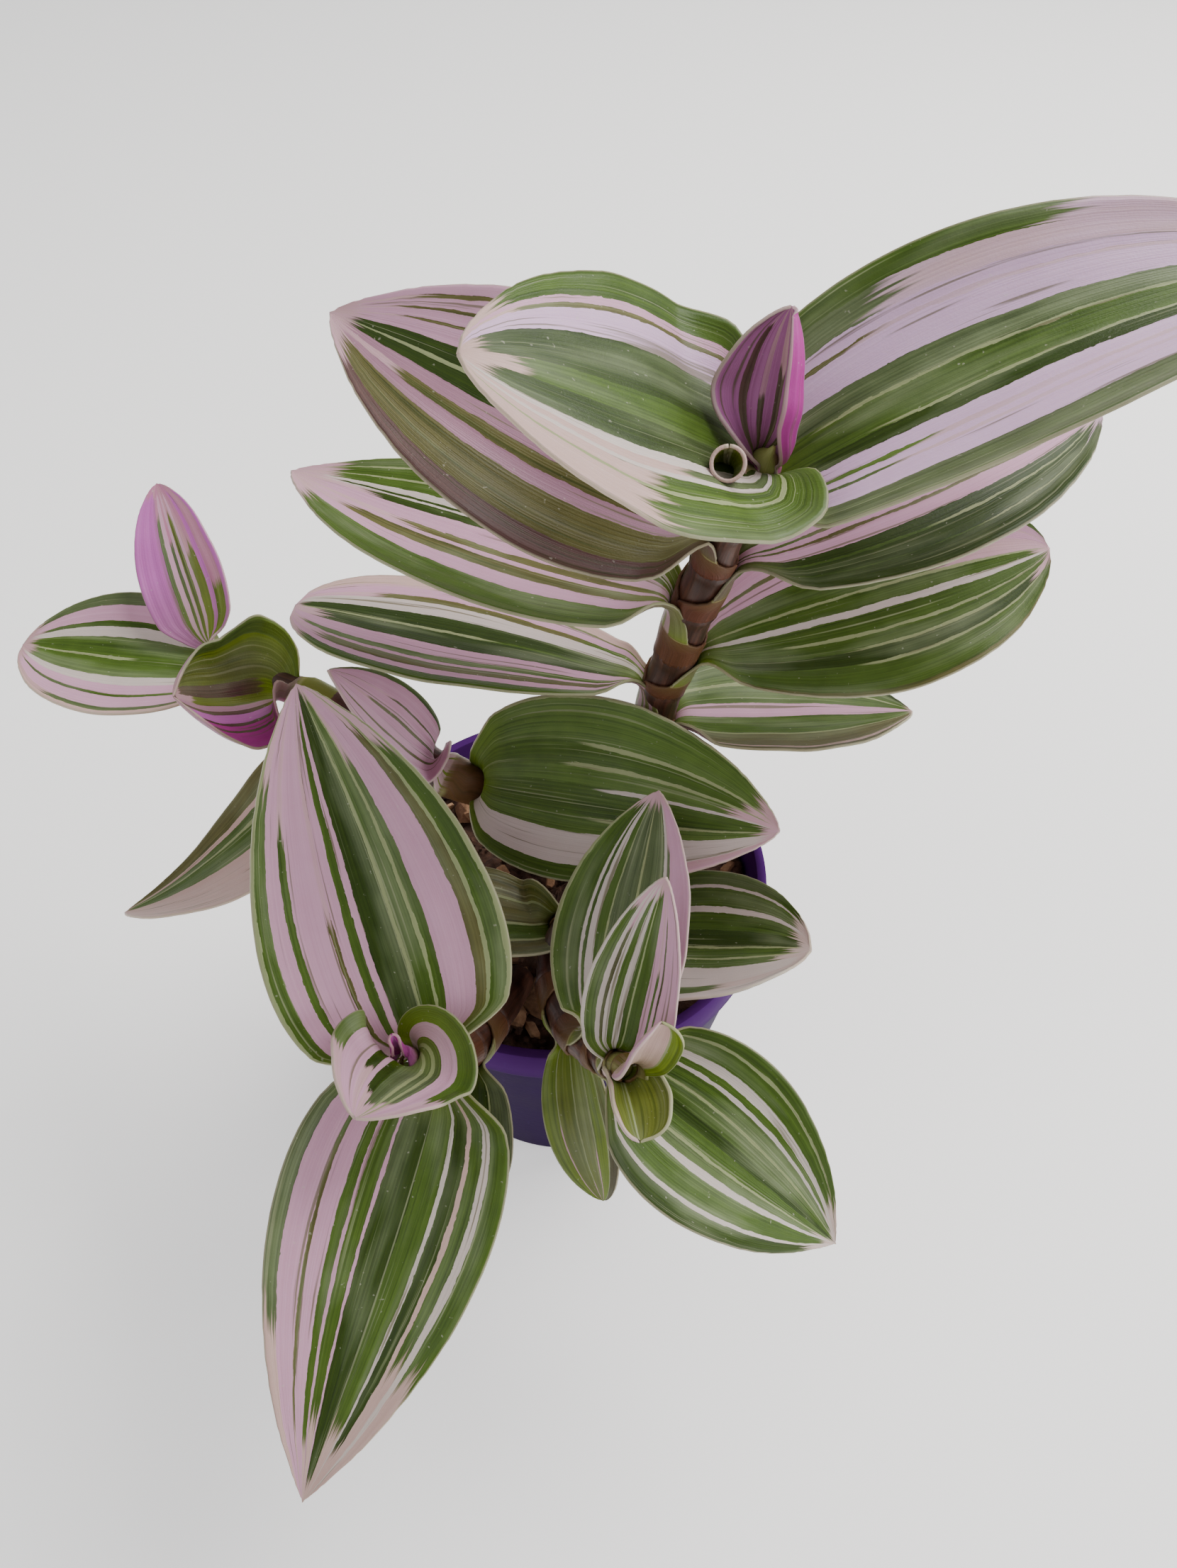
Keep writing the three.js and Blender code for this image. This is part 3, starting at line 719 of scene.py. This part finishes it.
def grow(node, stem, columns=44, rows=66, **given):
    """Makes one leaf: a grid rolled round the stem as the sheath, then opened into the blade."""
    leaf = SHARED | given
    line = stems[stem]
    number = len(leaves) + 1
    rng = random.Random(number)
    sheath = max(leaf["sheath"], 1.5)
    sheath_rows = max(3, round(sheath * 1.2))
    leaf["sheath_rows"], leaf["rows"] = sheath_rows, rows + sheath_rows
    frames, hold, start = leaf_frames(leaf, line)
    neck = hold * math.radians(leaf["wrap"])
    phase, waves = rng.uniform(0, 6.28), rng.uniform(2, 3.5)

    bm = bmesh.new()
    bm.loops.layers.uv.new("surface")
    made = bmesh.ops.create_grid(bm, x_segments=columns, y_segments=leaf["rows"], size=1,
                                 calc_uvs=True)["verts"]
    for vert in made:
        v, row = vert.co.x, (vert.co.y + 1) / 2 * leaf["rows"]
        if row < sheath_rows - 0.01:
            # A row of the sheath, which is closed at its bottom and opens towards its mouth.
            back = sheath * (1 - row / sheath_rows)
            point, along = line.at(leaf["at"] - back)
            outward = (start - along * start.dot(along)).normalized()
            stand = lerp(0.1, leaf["stand"] * SNUG, ease(-back, -sheath, 0))
            radius = line.radius(leaf["at"] - back) + stand
            spot, right, normal = point + outward * radius, along.cross(-outward), -outward
            fold = lerp(math.pi, math.radians(leaf["wrap"]), ease(-back, -min(sheath, 4), 0))
            lift = 0
        else:
            # A row of the blade, rolled like the sheath at its foot and flatter towards its tip.
            even = min(max((row - sheath_rows) / rows, 0), 1)
            t = lerp(even, (1 - math.cos(math.pi * even)) / 2, 0.6)
            spot, right, normal = frames[round(t * FINE_STEPS)]
            width = leaf["width"] / 2 * outline(leaf, t) * ease(t, -0.03, leaf["narrow"])
            half = math.hypot(width, neck * math.exp(-(t / 0.06) ** 2))
            half = max(half, NARROWEST)
            cup = lerp(*leaf["cup"], ease(v, -0.15, 0.15))
            fold = math.radians(lerp(leaf["wrap"], cup, ease(t, -0.02, leaf["open"])))
            fold = min(fold, half / 0.8)
            radius = half / fold
            open_part = ease(t, 0.03, 0.25) * (1 - t ** 3)
            groove = -0.4 * math.exp(-(v / 0.07) ** 2)
            pleats = 0.09 * math.cos(v * math.pi * 8.5)
            ripple = math.sin(t * 2 * math.pi * waves + phase + v)
            wave = 0.28 * ripple * abs(v) ** 5 * ease(t, 0.3, 0.6)
            dents = noise.noise(Vector((v * 1.6, t * 4, number))) * 0.5
            lift = open_part * (groove + pleats + wave + dents) * min(half / 10, 1)
        angle = fold * v
        place = (spot + right * ((radius - lift) * math.sin(angle))
                 + normal * (radius - (radius - lift) * math.cos(angle)))
        if row >= sheath_rows:
            share = max(leaf["lobe_side"] * v, 0) ** 1.3
            place += Vector(leaf["lobe"]) * (share * ease(t, 0, 0.1) * (1 - ease(t, 0.2, 0.6)))
        vert.co = place * MM
    bmesh.ops.remove_doubles(bm, verts=bm.verts, dist=0.0000005)
    finishes = [blade_finish(f"{node}_{side}", leaf, side == "under", number)
                for side in ("upper", "under")]
    blade = piece(f"{node}_blade", bm, finishes)
    wall = blade.modifiers.new("thickness", "SOLIDIFY")
    wall.thickness = BLADE_THICKNESS * MM
    wall.offset = 0
    wall.material_offset = 1
    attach(blade, "root")
    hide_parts(node)
    leaves.append(blade)


# The upright shoot's eight big leaves, in two ranks from the lowest up, and at its top a folded
# magenta leaf and a tiny one that is still rolled up.
grow("leaf_main_1_right", "main", at=58.5, sheath=7.5, heading=2, rise=-5, length=52, width=38,
     roll=-13, droop=1, sweep=-7, cup=(32, 28), wrap=102, open=0.18, stand=1.9, tip_hue="beige",
     stripes="dark -0.8, green -0.5, line -0.46, green -0.2, pink 0.02, green 0.4, line 0.44, "
             "olive 0.8, beige 0.9, olive 1")
grow("leaf_main_2_left", "main", at=68, sheath=4, heading=165, rise=6, length=72, width=37, roll=15,
     droop=3, sweep=-3, cup=(6, 9), root=0.72, taper=0.48, wrap=106, stand=0.7,
     stripes="green -0.86 0-0.86, pink -0.76, olive -0.62 0-0.82, pink -0.57, "
             "green -0.47 0-0.88, pink -0.25, dark 0.02 0-0.85, line 0.06 0.5-0.95, dark 0.27, "
             "white 0.5, olive 0.6 0.3-0.74, pink 0.75, olive 0.8 0.2-0.6, beige 1")
grow("leaf_main_3_right", "main", at=79, sheath=5, heading=8, rise=12, length=72, width=37, roll=30,
     twist=8, droop=15, sweep=-5, root=0.8, taper=0.7,
     stripes="green -0.85, pink -0.62, olive -0.56 0.1-0.35, pink -0.4, green -0.13 0-0.62, "
             "line -0.1, green 0.04 0-0.9, white 0.12, green 0.3, line 0.33 0.3-0.9, "
             "green 0.45, line 0.48 0.45-0.9, dark 0.62 0-0.87, line 0.65 0.5-0.9, green 0.95, "
             "olive 1")
grow("leaf_main_4_left", "main", at=92, sheath=8, heading=168, rise=6, length=77, width=38, droop=1,
     sweep=20, tip=0.84,
     stripes="green -0.5 0-0.84, pink -0.31, olive -0.16 0-0.75, pink -0.1, olive 0 0.1-0.62, "
             "pink 0.2, dark 0.3 0-0.72, white 0.33, dark 0.37 0.1-0.8, white 0.45, "
             "green 0.6 0-0.85, line 0.63, green 0.8 0-0.88, line 0.83, green 1 0-0.9")
grow("leaf_main_5_right", "main", at=104, sheath=7, heading=18, rise=22, length=77, width=40,
     roll=20, droop=34, root=0.7, base_hue="olive", tip_hue="lilac",
     stripes="green -0.5, pink -0.3, green 0.05, pink 0.18, olive 0.22 0.3-0.8, pink 0.28, "
             "olive 0.31 0.2-0.7, pink 0.46, dark 0.57 0-0.83, line 0.59 0.5-0.9, "
             "dark 0.76 0-0.86, line 0.78 0.5-0.8, dark 1 0-0.9")
grow("leaf_main_6_left", "main", at=113.5, sheath=5, heading=171, rise=27, length=70, width=40,
     roll=-34, droop=24, sweep=12, wrap=88, tip=0.88, base_hue="olive", silver=0,
     stripes="dusk -0.8 0-0.84, olive -0.46 0-0.86, rose -0.31, olive -0.2 0.1-0.72, "
             "rose -0.05, dark 0.1 0-0.9, line 0.14, dark 0.3 0-0.92, pink 0.48, "
             "olive 0.52 0.3-0.78, pink 0.65, olive 0.69 0.5-0.78, pink 0.82, "
             "olive 0.87 0.3-0.76, pink 1")
grow("leaf_main_7_right", "main", at=121, sheath=3, heading=6, rise=36, length=88, width=46,
     roll=12, droop=35, cup=(38, 42), root=0.4, taper=0.6, wrap=94, open=0.144, stand=1.4,
     tip_hue="lilac",
     stripes="green -0.86 0-0.6, grey -0.7 0-0.38, lilac -0.61, olive -0.58 0.12-0.33, "
             "lilac -0.36, grey -0.2 0-0.9, line -0.175 0.3-0.85, green 0.02 0-0.85, "
             "line 0.045 0.35-0.8, dark 0.16 0-0.78, lilac 0.28, sage 0.32 0-0.35, lilac 0.38, "
             "green 0.42 0-0.3, lilac 0.62, grey 1 0-0.8")
# Painted shade: this leaf's dark ground shows at its foot, in the cupped hollow by the stem.
grow("leaf_main_8_left", "main", at=129, sheath=5, heading=210, rise=41, length=53, width=44,
     roll=-26, droop=19, sweep=6, cup=(14, 12), root=0.4, taper=0.65, wrap=95, open=0.3, stand=1.7,
     tip_hue="beige", narrow=0.18, lobe=(4, 4, 0), foot=0.12, fresh=0.6, ground="dark", silver=0.35,
     stripes="green -0.66 0-0.52, line -0.62, green -0.5 0-0.5, white -0.46, grey -0.38 0-0.42, "
             "white -0.3, dark -0.05 0.22-0.86, green 0.16 0.2-0.75, dark 0.5 0.26-0.88, "
             "lilac 0.7, olive 0.74 0.1-0.75, pink 0.8, green 1 0-0.82")
grow("young_main_folded", "main", at=133, sheath=2.5, heading=62, rise=72, length=21, width=20,
     roll=8, droop=-4, sweep=-4, cup=(50, 150), root=0.5, taper=0.7, wrap=150, open=0.5, stand=0.8,
     tip=1.2, tip_hue="mauve", base_hue="moss", foot=0.3, flush=0, narrow=0.001, rim=0.95,
     stripes="magenta 0.5, mauve 0.62, magenta 1",
     inside="mauve -0.56, dusk -0.44 0-0.8, mauve -0.26, dusk -0.18 0-0.42, mauve -0.04, "
            "dusk 0.06 0-0.55, mauve 0.16, dusk 0.26 0-0.4, mauve 1")
grow("young_main_rolled", "main", at=131, sheath=0, heading=266, rise=34, length=6, width=14,
     droop=-4, cup=(178, 178), root=0.25, taper=0, wrap=178, open=0.28, stand=0.7, rows=24,
     columns=28, tip=0.85, flush=0, narrow=0.001, rim=0.9, ground="moss", aside=(-5.2, -6.6, 5.2),
     hug=1, tip_hue="beige",
     stripes="beige -0.85, rose 0.85, beige 1",
     inside="moss 1")

# The left shoot's leaves: five open ones along a shoot that leans out over the rim, and a young
# pink one that stands up at its end.
grow("leaf_left_1_right", "left", at=46, sheath=5.5, heading=-23, rise=21, length=65, width=37,
     roll=38, droop=33, sweep=12, cup=(34, 32), taper=0.8, wrap=99, stand=1.9, tip=0.9, silver=0.1,
     stripes="line -0.97, sage -0.5 0-0.86, line -0.46 0.45-0.9, green -0.28 0-0.82, "
             "line -0.23 0.4-0.9, sage -0.05 0-0.78, white 0 0.5-1, green 0.28 0-0.9, "
             "line 0.32 0.5-0.9, sage 0.46 0-0.87, white 0.82, green 1 0-0.62")
grow("leaf_left_2_back", "left", at=55, sheath=7, heading=186, rise=60, length=35, width=19,
     roll=-12, droop=0, flush=0,
     stripes="pink -0.35, olive -0.28 0-0.85, pink 0.15, olive 0.22 0.1-0.6, pink 0.5, "
             "olive 0.55 0-0.5, pink 0.9, green 1")
grow("leaf_left_3_front", "left", at=69, sheath=8, heading=232, rise=-28, length=68, width=31,
     twist=50, droop=6, sweep=52, tip_hue="beige", flush=0.1,
     stripes="beige -0.35, olive -0.3 0-0.5, beige 0.1, green 0.45, line 0.5, green 0.62, "
             "beige 0.7, olive 1")
grow("leaf_left_4_cupped", "left", at=90, sheath=8, heading=213, rise=2, length=29, width=29,
     roll=-22, droop=-68, sweep=8, cup=(41, 80), root=0.6, taper=0.5, wrap=109, open=0.192,
     stand=1.9, flush=0.1, tip=0.9, foot=0.4, tip_hue="rose", fresh=0.75, lobe=(3.5, 2, 7.5),
     lobe_side=1, ground="fresh",
     stripes="rose -0.3, magenta 0, rose 1",
     inside="magenta -0.55, dusk -0.5 0.3-0.85, magenta -0.4, dusk -0.34 0.3-0.85, orchid -0.2, "
            "dusk -0.12 0.25-0.9, rose -0.02, moss 0.12 0.2-0.7, dusk 0.3 0.3-0.85, "
            "moss 0.6 0.2-0.85, fresh 0.8, sage 1")
grow("leaf_left_5_left", "left", at=106, sheath=9, heading=184, rise=4, length=43, width=33,
     roll=-4, twist=-3, droop=-2, sweep=18, cup=(24, 30), root=0.6, wrap=85, open=0.144, stand=1.6,
     tip=0.9, tip_hue="rose", base_hue="moss", foot=0.3, taper=0.62, fresh=0.6,
     stripes="beige -0.93, grey -0.84 0-0.68, pink -0.62, grey -0.57 0.6-0.9, pink -0.4, "
             "white -0.27, green 0.03 0-0.88, line 0.07 0.5-0.95, green 0.35 0-0.93, white 0.5, "
             "green 0.58 0-0.85, pink 0.82, grey 1 0-0.9")
grow("young_left_upright", "left", at=108.5, sheath=0, heading=115, rise=56, length=40, width=18,
     roll=-22, droop=39, sweep=-9, cup=(26, 20), taper=0.73, wrap=88, open=0.156, stand=1.6,
     tip_hue="magenta", tip=0.85, foot=0.5, narrow=0.25,
     stripes="orchid -0.4, mauve -0.3, grey -0.2 0.05-0.72, pink -0.08, grey 0 0-0.6, "
             "pink 0.08, moss 0.2 0-0.7, pink 0.28, moss 0.5 0-0.55, orchid 0.62, "
             "moss 0.9 0-0.38, orchid 1")

# The leaves of the shoot that leans over the front rim to the left. At its end a heart-shaped
# young leaf is curled round a small bud.
grow("leaf_front_left_1_under", "front_left", at=46, sheath=7.5, heading=263, rise=-31, length=38,
     width=22, roll=4, sweep=4, cup=(22, 35), wrap=94, open=0.156, stand=2,
     stripes="dark -0.6, line -0.56, dark -0.1, green 0.4, line 0.43, dark 1")
grow("leaf_front_left_2_down", "front_left", at=56, sheath=8, heading=255, rise=-5, length=73,
     width=38, roll=-12, droop=40, sweep=-2, root=0.47, taper=1, tip_hue="beige",
     stripes="green -0.8 0-0.62, white -0.72, green -0.6 0-0.6, beige -0.55, "
             "dark -0.42 0.1-0.8, white -0.38, green -0.15 0-0.74, dark 0.14 0-0.9, pink 0.17, "
             "green 0.3 0-0.74, pink 0.34, green 0.43 0-0.8, pink 0.6, olive 0.64 0.3-0.75, "
             "pink 0.86, grey 1 0-0.58")
grow("leaf_front_left_3_up", "front_left", at=60, sheath=3, heading=111, rise=54, length=70,
     width=41, roll=-7, twist=3, droop=31, sweep=-6, cup=(23, 20), root=0.42, wrap=70, open=0.132,
     stand=1.2, fresh=0.5,
     stripes="line -0.97, green -0.86 0-0.7, pink -0.72, green -0.66 0.1-0.6, pink -0.4, "
             "olive -0.36 0.1-0.45, pink -0.27, green -0.2 0.05-0.85, pink -0.14, "
             "dark 0.1 0-0.95, line 0.13, green 0.26 0-0.9, line 0.29, green 0.37 0-0.7, "
             "pink 0.66, olive 0.76 0-0.78, line 0.8, green 0.95 0-0.7, line 1")
grow("young_front_left_curled", "front_left", at=68.5, sheath=0.5, heading=247, rise=60, length=22,
     width=26, droop=45, sweep=2, cup=(15, 46), root=0.35, taper=0.7, wrap=134, open=0.432,
     stand=0.7, tip=0.96, foot=0.4, narrow=0.001,
     stripes="green -0.74 0-0.6, pink -0.5, dark -0.4 0-0.7, line -0.34, dark -0.26 0-0.72, "
             "line -0.2, grey 0.05 0-0.78, dark 0.2 0-0.66, pink 0.27, dark 0.42 0-0.5, "
             "pink 0.78, green 1 0-0.55")
grow("young_front_left_bud", "front_left", at=71, sheath=0, heading=120, rise=75, length=6, width=5,
     droop=6, cup=(130, 130), root=0.4, taper=0.6, wrap=130, stand=0.7, rows=24, columns=20,
     tip=1.2, base_hue="rose", narrow=0.001,
     stripes="magenta -0.3, orchid 0.3, magenta 1")

# The leaves of the shoot that leans over the front rim to the right. At its end are two small
# young ones, one like a spoon and one like a hook.
grow("leaf_front_right_1_left", "front_right", at=24, sheath=3, heading=190, rise=25, length=40,
     width=32, roll=24, twist=-3, droop=13, sweep=4, cup=(21, 35), root=0.6, wrap=105, open=0.192,
     stand=2.2, tip=1,
     stripes="olive -0.5, line -0.45, green 0, line 0.05, olive 0.5, line 0.55, olive 1")
grow("leaf_front_right_2_right", "front_right", at=29, sheath=4, heading=-17, rise=19, length=51,
     width=40, roll=-15, droop=-2, sweep=-4, root=0.68, taper=0.6, wrap=104, stand=1, tip=0.9,
     tip_hue="white",
     stripes="green -0.85, white -0.81, green -0.6 0-0.86, white -0.52, green -0.3 0-0.86, "
             "dark -0.08 0-0.94, line -0.05, green 0.1 0-0.86, line 0.13, green 0.27 0-0.8, "
             "white 0.64, green 0.8 0-0.65, white 1")
grow("leaf_front_right_3_hanging", "front_right", at=52, sheath=8, heading=274, rise=-45, length=40,
     width=15, roll=25, droop=30, root=0.65, taper=0.7, wrap=97, flush=0.1, tip=1.1, foot=0.5,
     stripes="brown -0.7, line -0.66, fresh -0.3, line -0.26 0-0.6, moss 0.1, "
             "line 0.14 0.2-0.8, moss 0.55, line 0.6 0-0.5, fresh 1")
grow("leaf_front_right_4_up", "front_right", at=62.5, sheath=6.5, heading=78, rise=39, length=48,
     width=27, roll=-25, twist=4, droop=14, cup=(35, 20), root=0.62, wrap=96, stand=1.2, tip=0.88,
     stripes="line -0.95, green -0.6 0-0.88, white -0.55, green -0.5, white -0.4, "
             "green -0.28 0-0.92, line -0.25, grey 0.05 0-0.9, line 0.1, grey 0.5 0-0.93, "
             "white 0.56, grey 0.62 0-0.7, pink 1")
grow("leaf_front_right_5_down", "front_right", at=70.5, sheath=5, heading=325, rise=-12, length=54,
     width=33, roll=13, twist=4, droop=41, cup=(35, 35), taper=1, wrap=91, open=0.144, stand=1,
     tip_hue="white", silver=0.7,
     stripes="green -0.88 0-0.8, line -0.84, green -0.66 0-0.78, white -0.56, "
             "green -0.48 0-0.8, white -0.43, green -0.27 0-0.88, line -0.24, "
             "green -0.08 0-0.92, dark 0.05 0-0.95, green 0.2 0-0.9, line 0.23, "
             "green 0.33 0-0.82, white 0.42, green 0.71 0-0.88, white 0.76, dark 1 0-0.8")
grow("leaf_front_right_6_up", "front_right", at=73.5, sheath=2, heading=65, rise=68, length=38,
     width=17, roll=-5, droop=12, cup=(29, 23), root=0.42, taper=0.77, wrap=111, open=0.192,
     stand=1.3, tip=0.9,
     stripes="white -0.93, green -0.7 0-0.76, white -0.6, brown -0.52 0.2-0.66, white -0.42, "
             "green -0.27 0-0.82, white -0.14, green -0.04 0-0.82, line 0, green 0.26 0-0.87, "
             "pink 0.4, green 0.46 0-0.55, pink 0.52, brown 0.56 0.45-0.73, pink 1")
grow("young_front_right_spoon", "front_right", at=83.5, sheath=0, heading=65, rise=61, length=14,
     width=13, roll=54, droop=-26, cup=(57, 59), root=0.5, taper=0.5, wrap=99, stand=0.9, rows=40,
     columns=30, tip=1.1, flush=0.15, foot=0.55, narrow=0.001, aside=(0.8, -1.2, -0.4),
     stripes="pink -0.85, beige 0.55, line 0.62, fresh 1")
grow("young_front_right_hook", "front_right", at=77, sheath=0, heading=285, rise=25, length=15,
     width=14, roll=-20, droop=30, cup=(75, 75), root=0.5, taper=0.35, stand=0.7, rows=40,
     columns=30, tip=1.1, flush=0.1, foot=0.3, rim=0.94, narrow=0.001,
     stripes="line -0.94, moss 0.05, line 0.12, moss 0.6, beige 1 0-0.75")
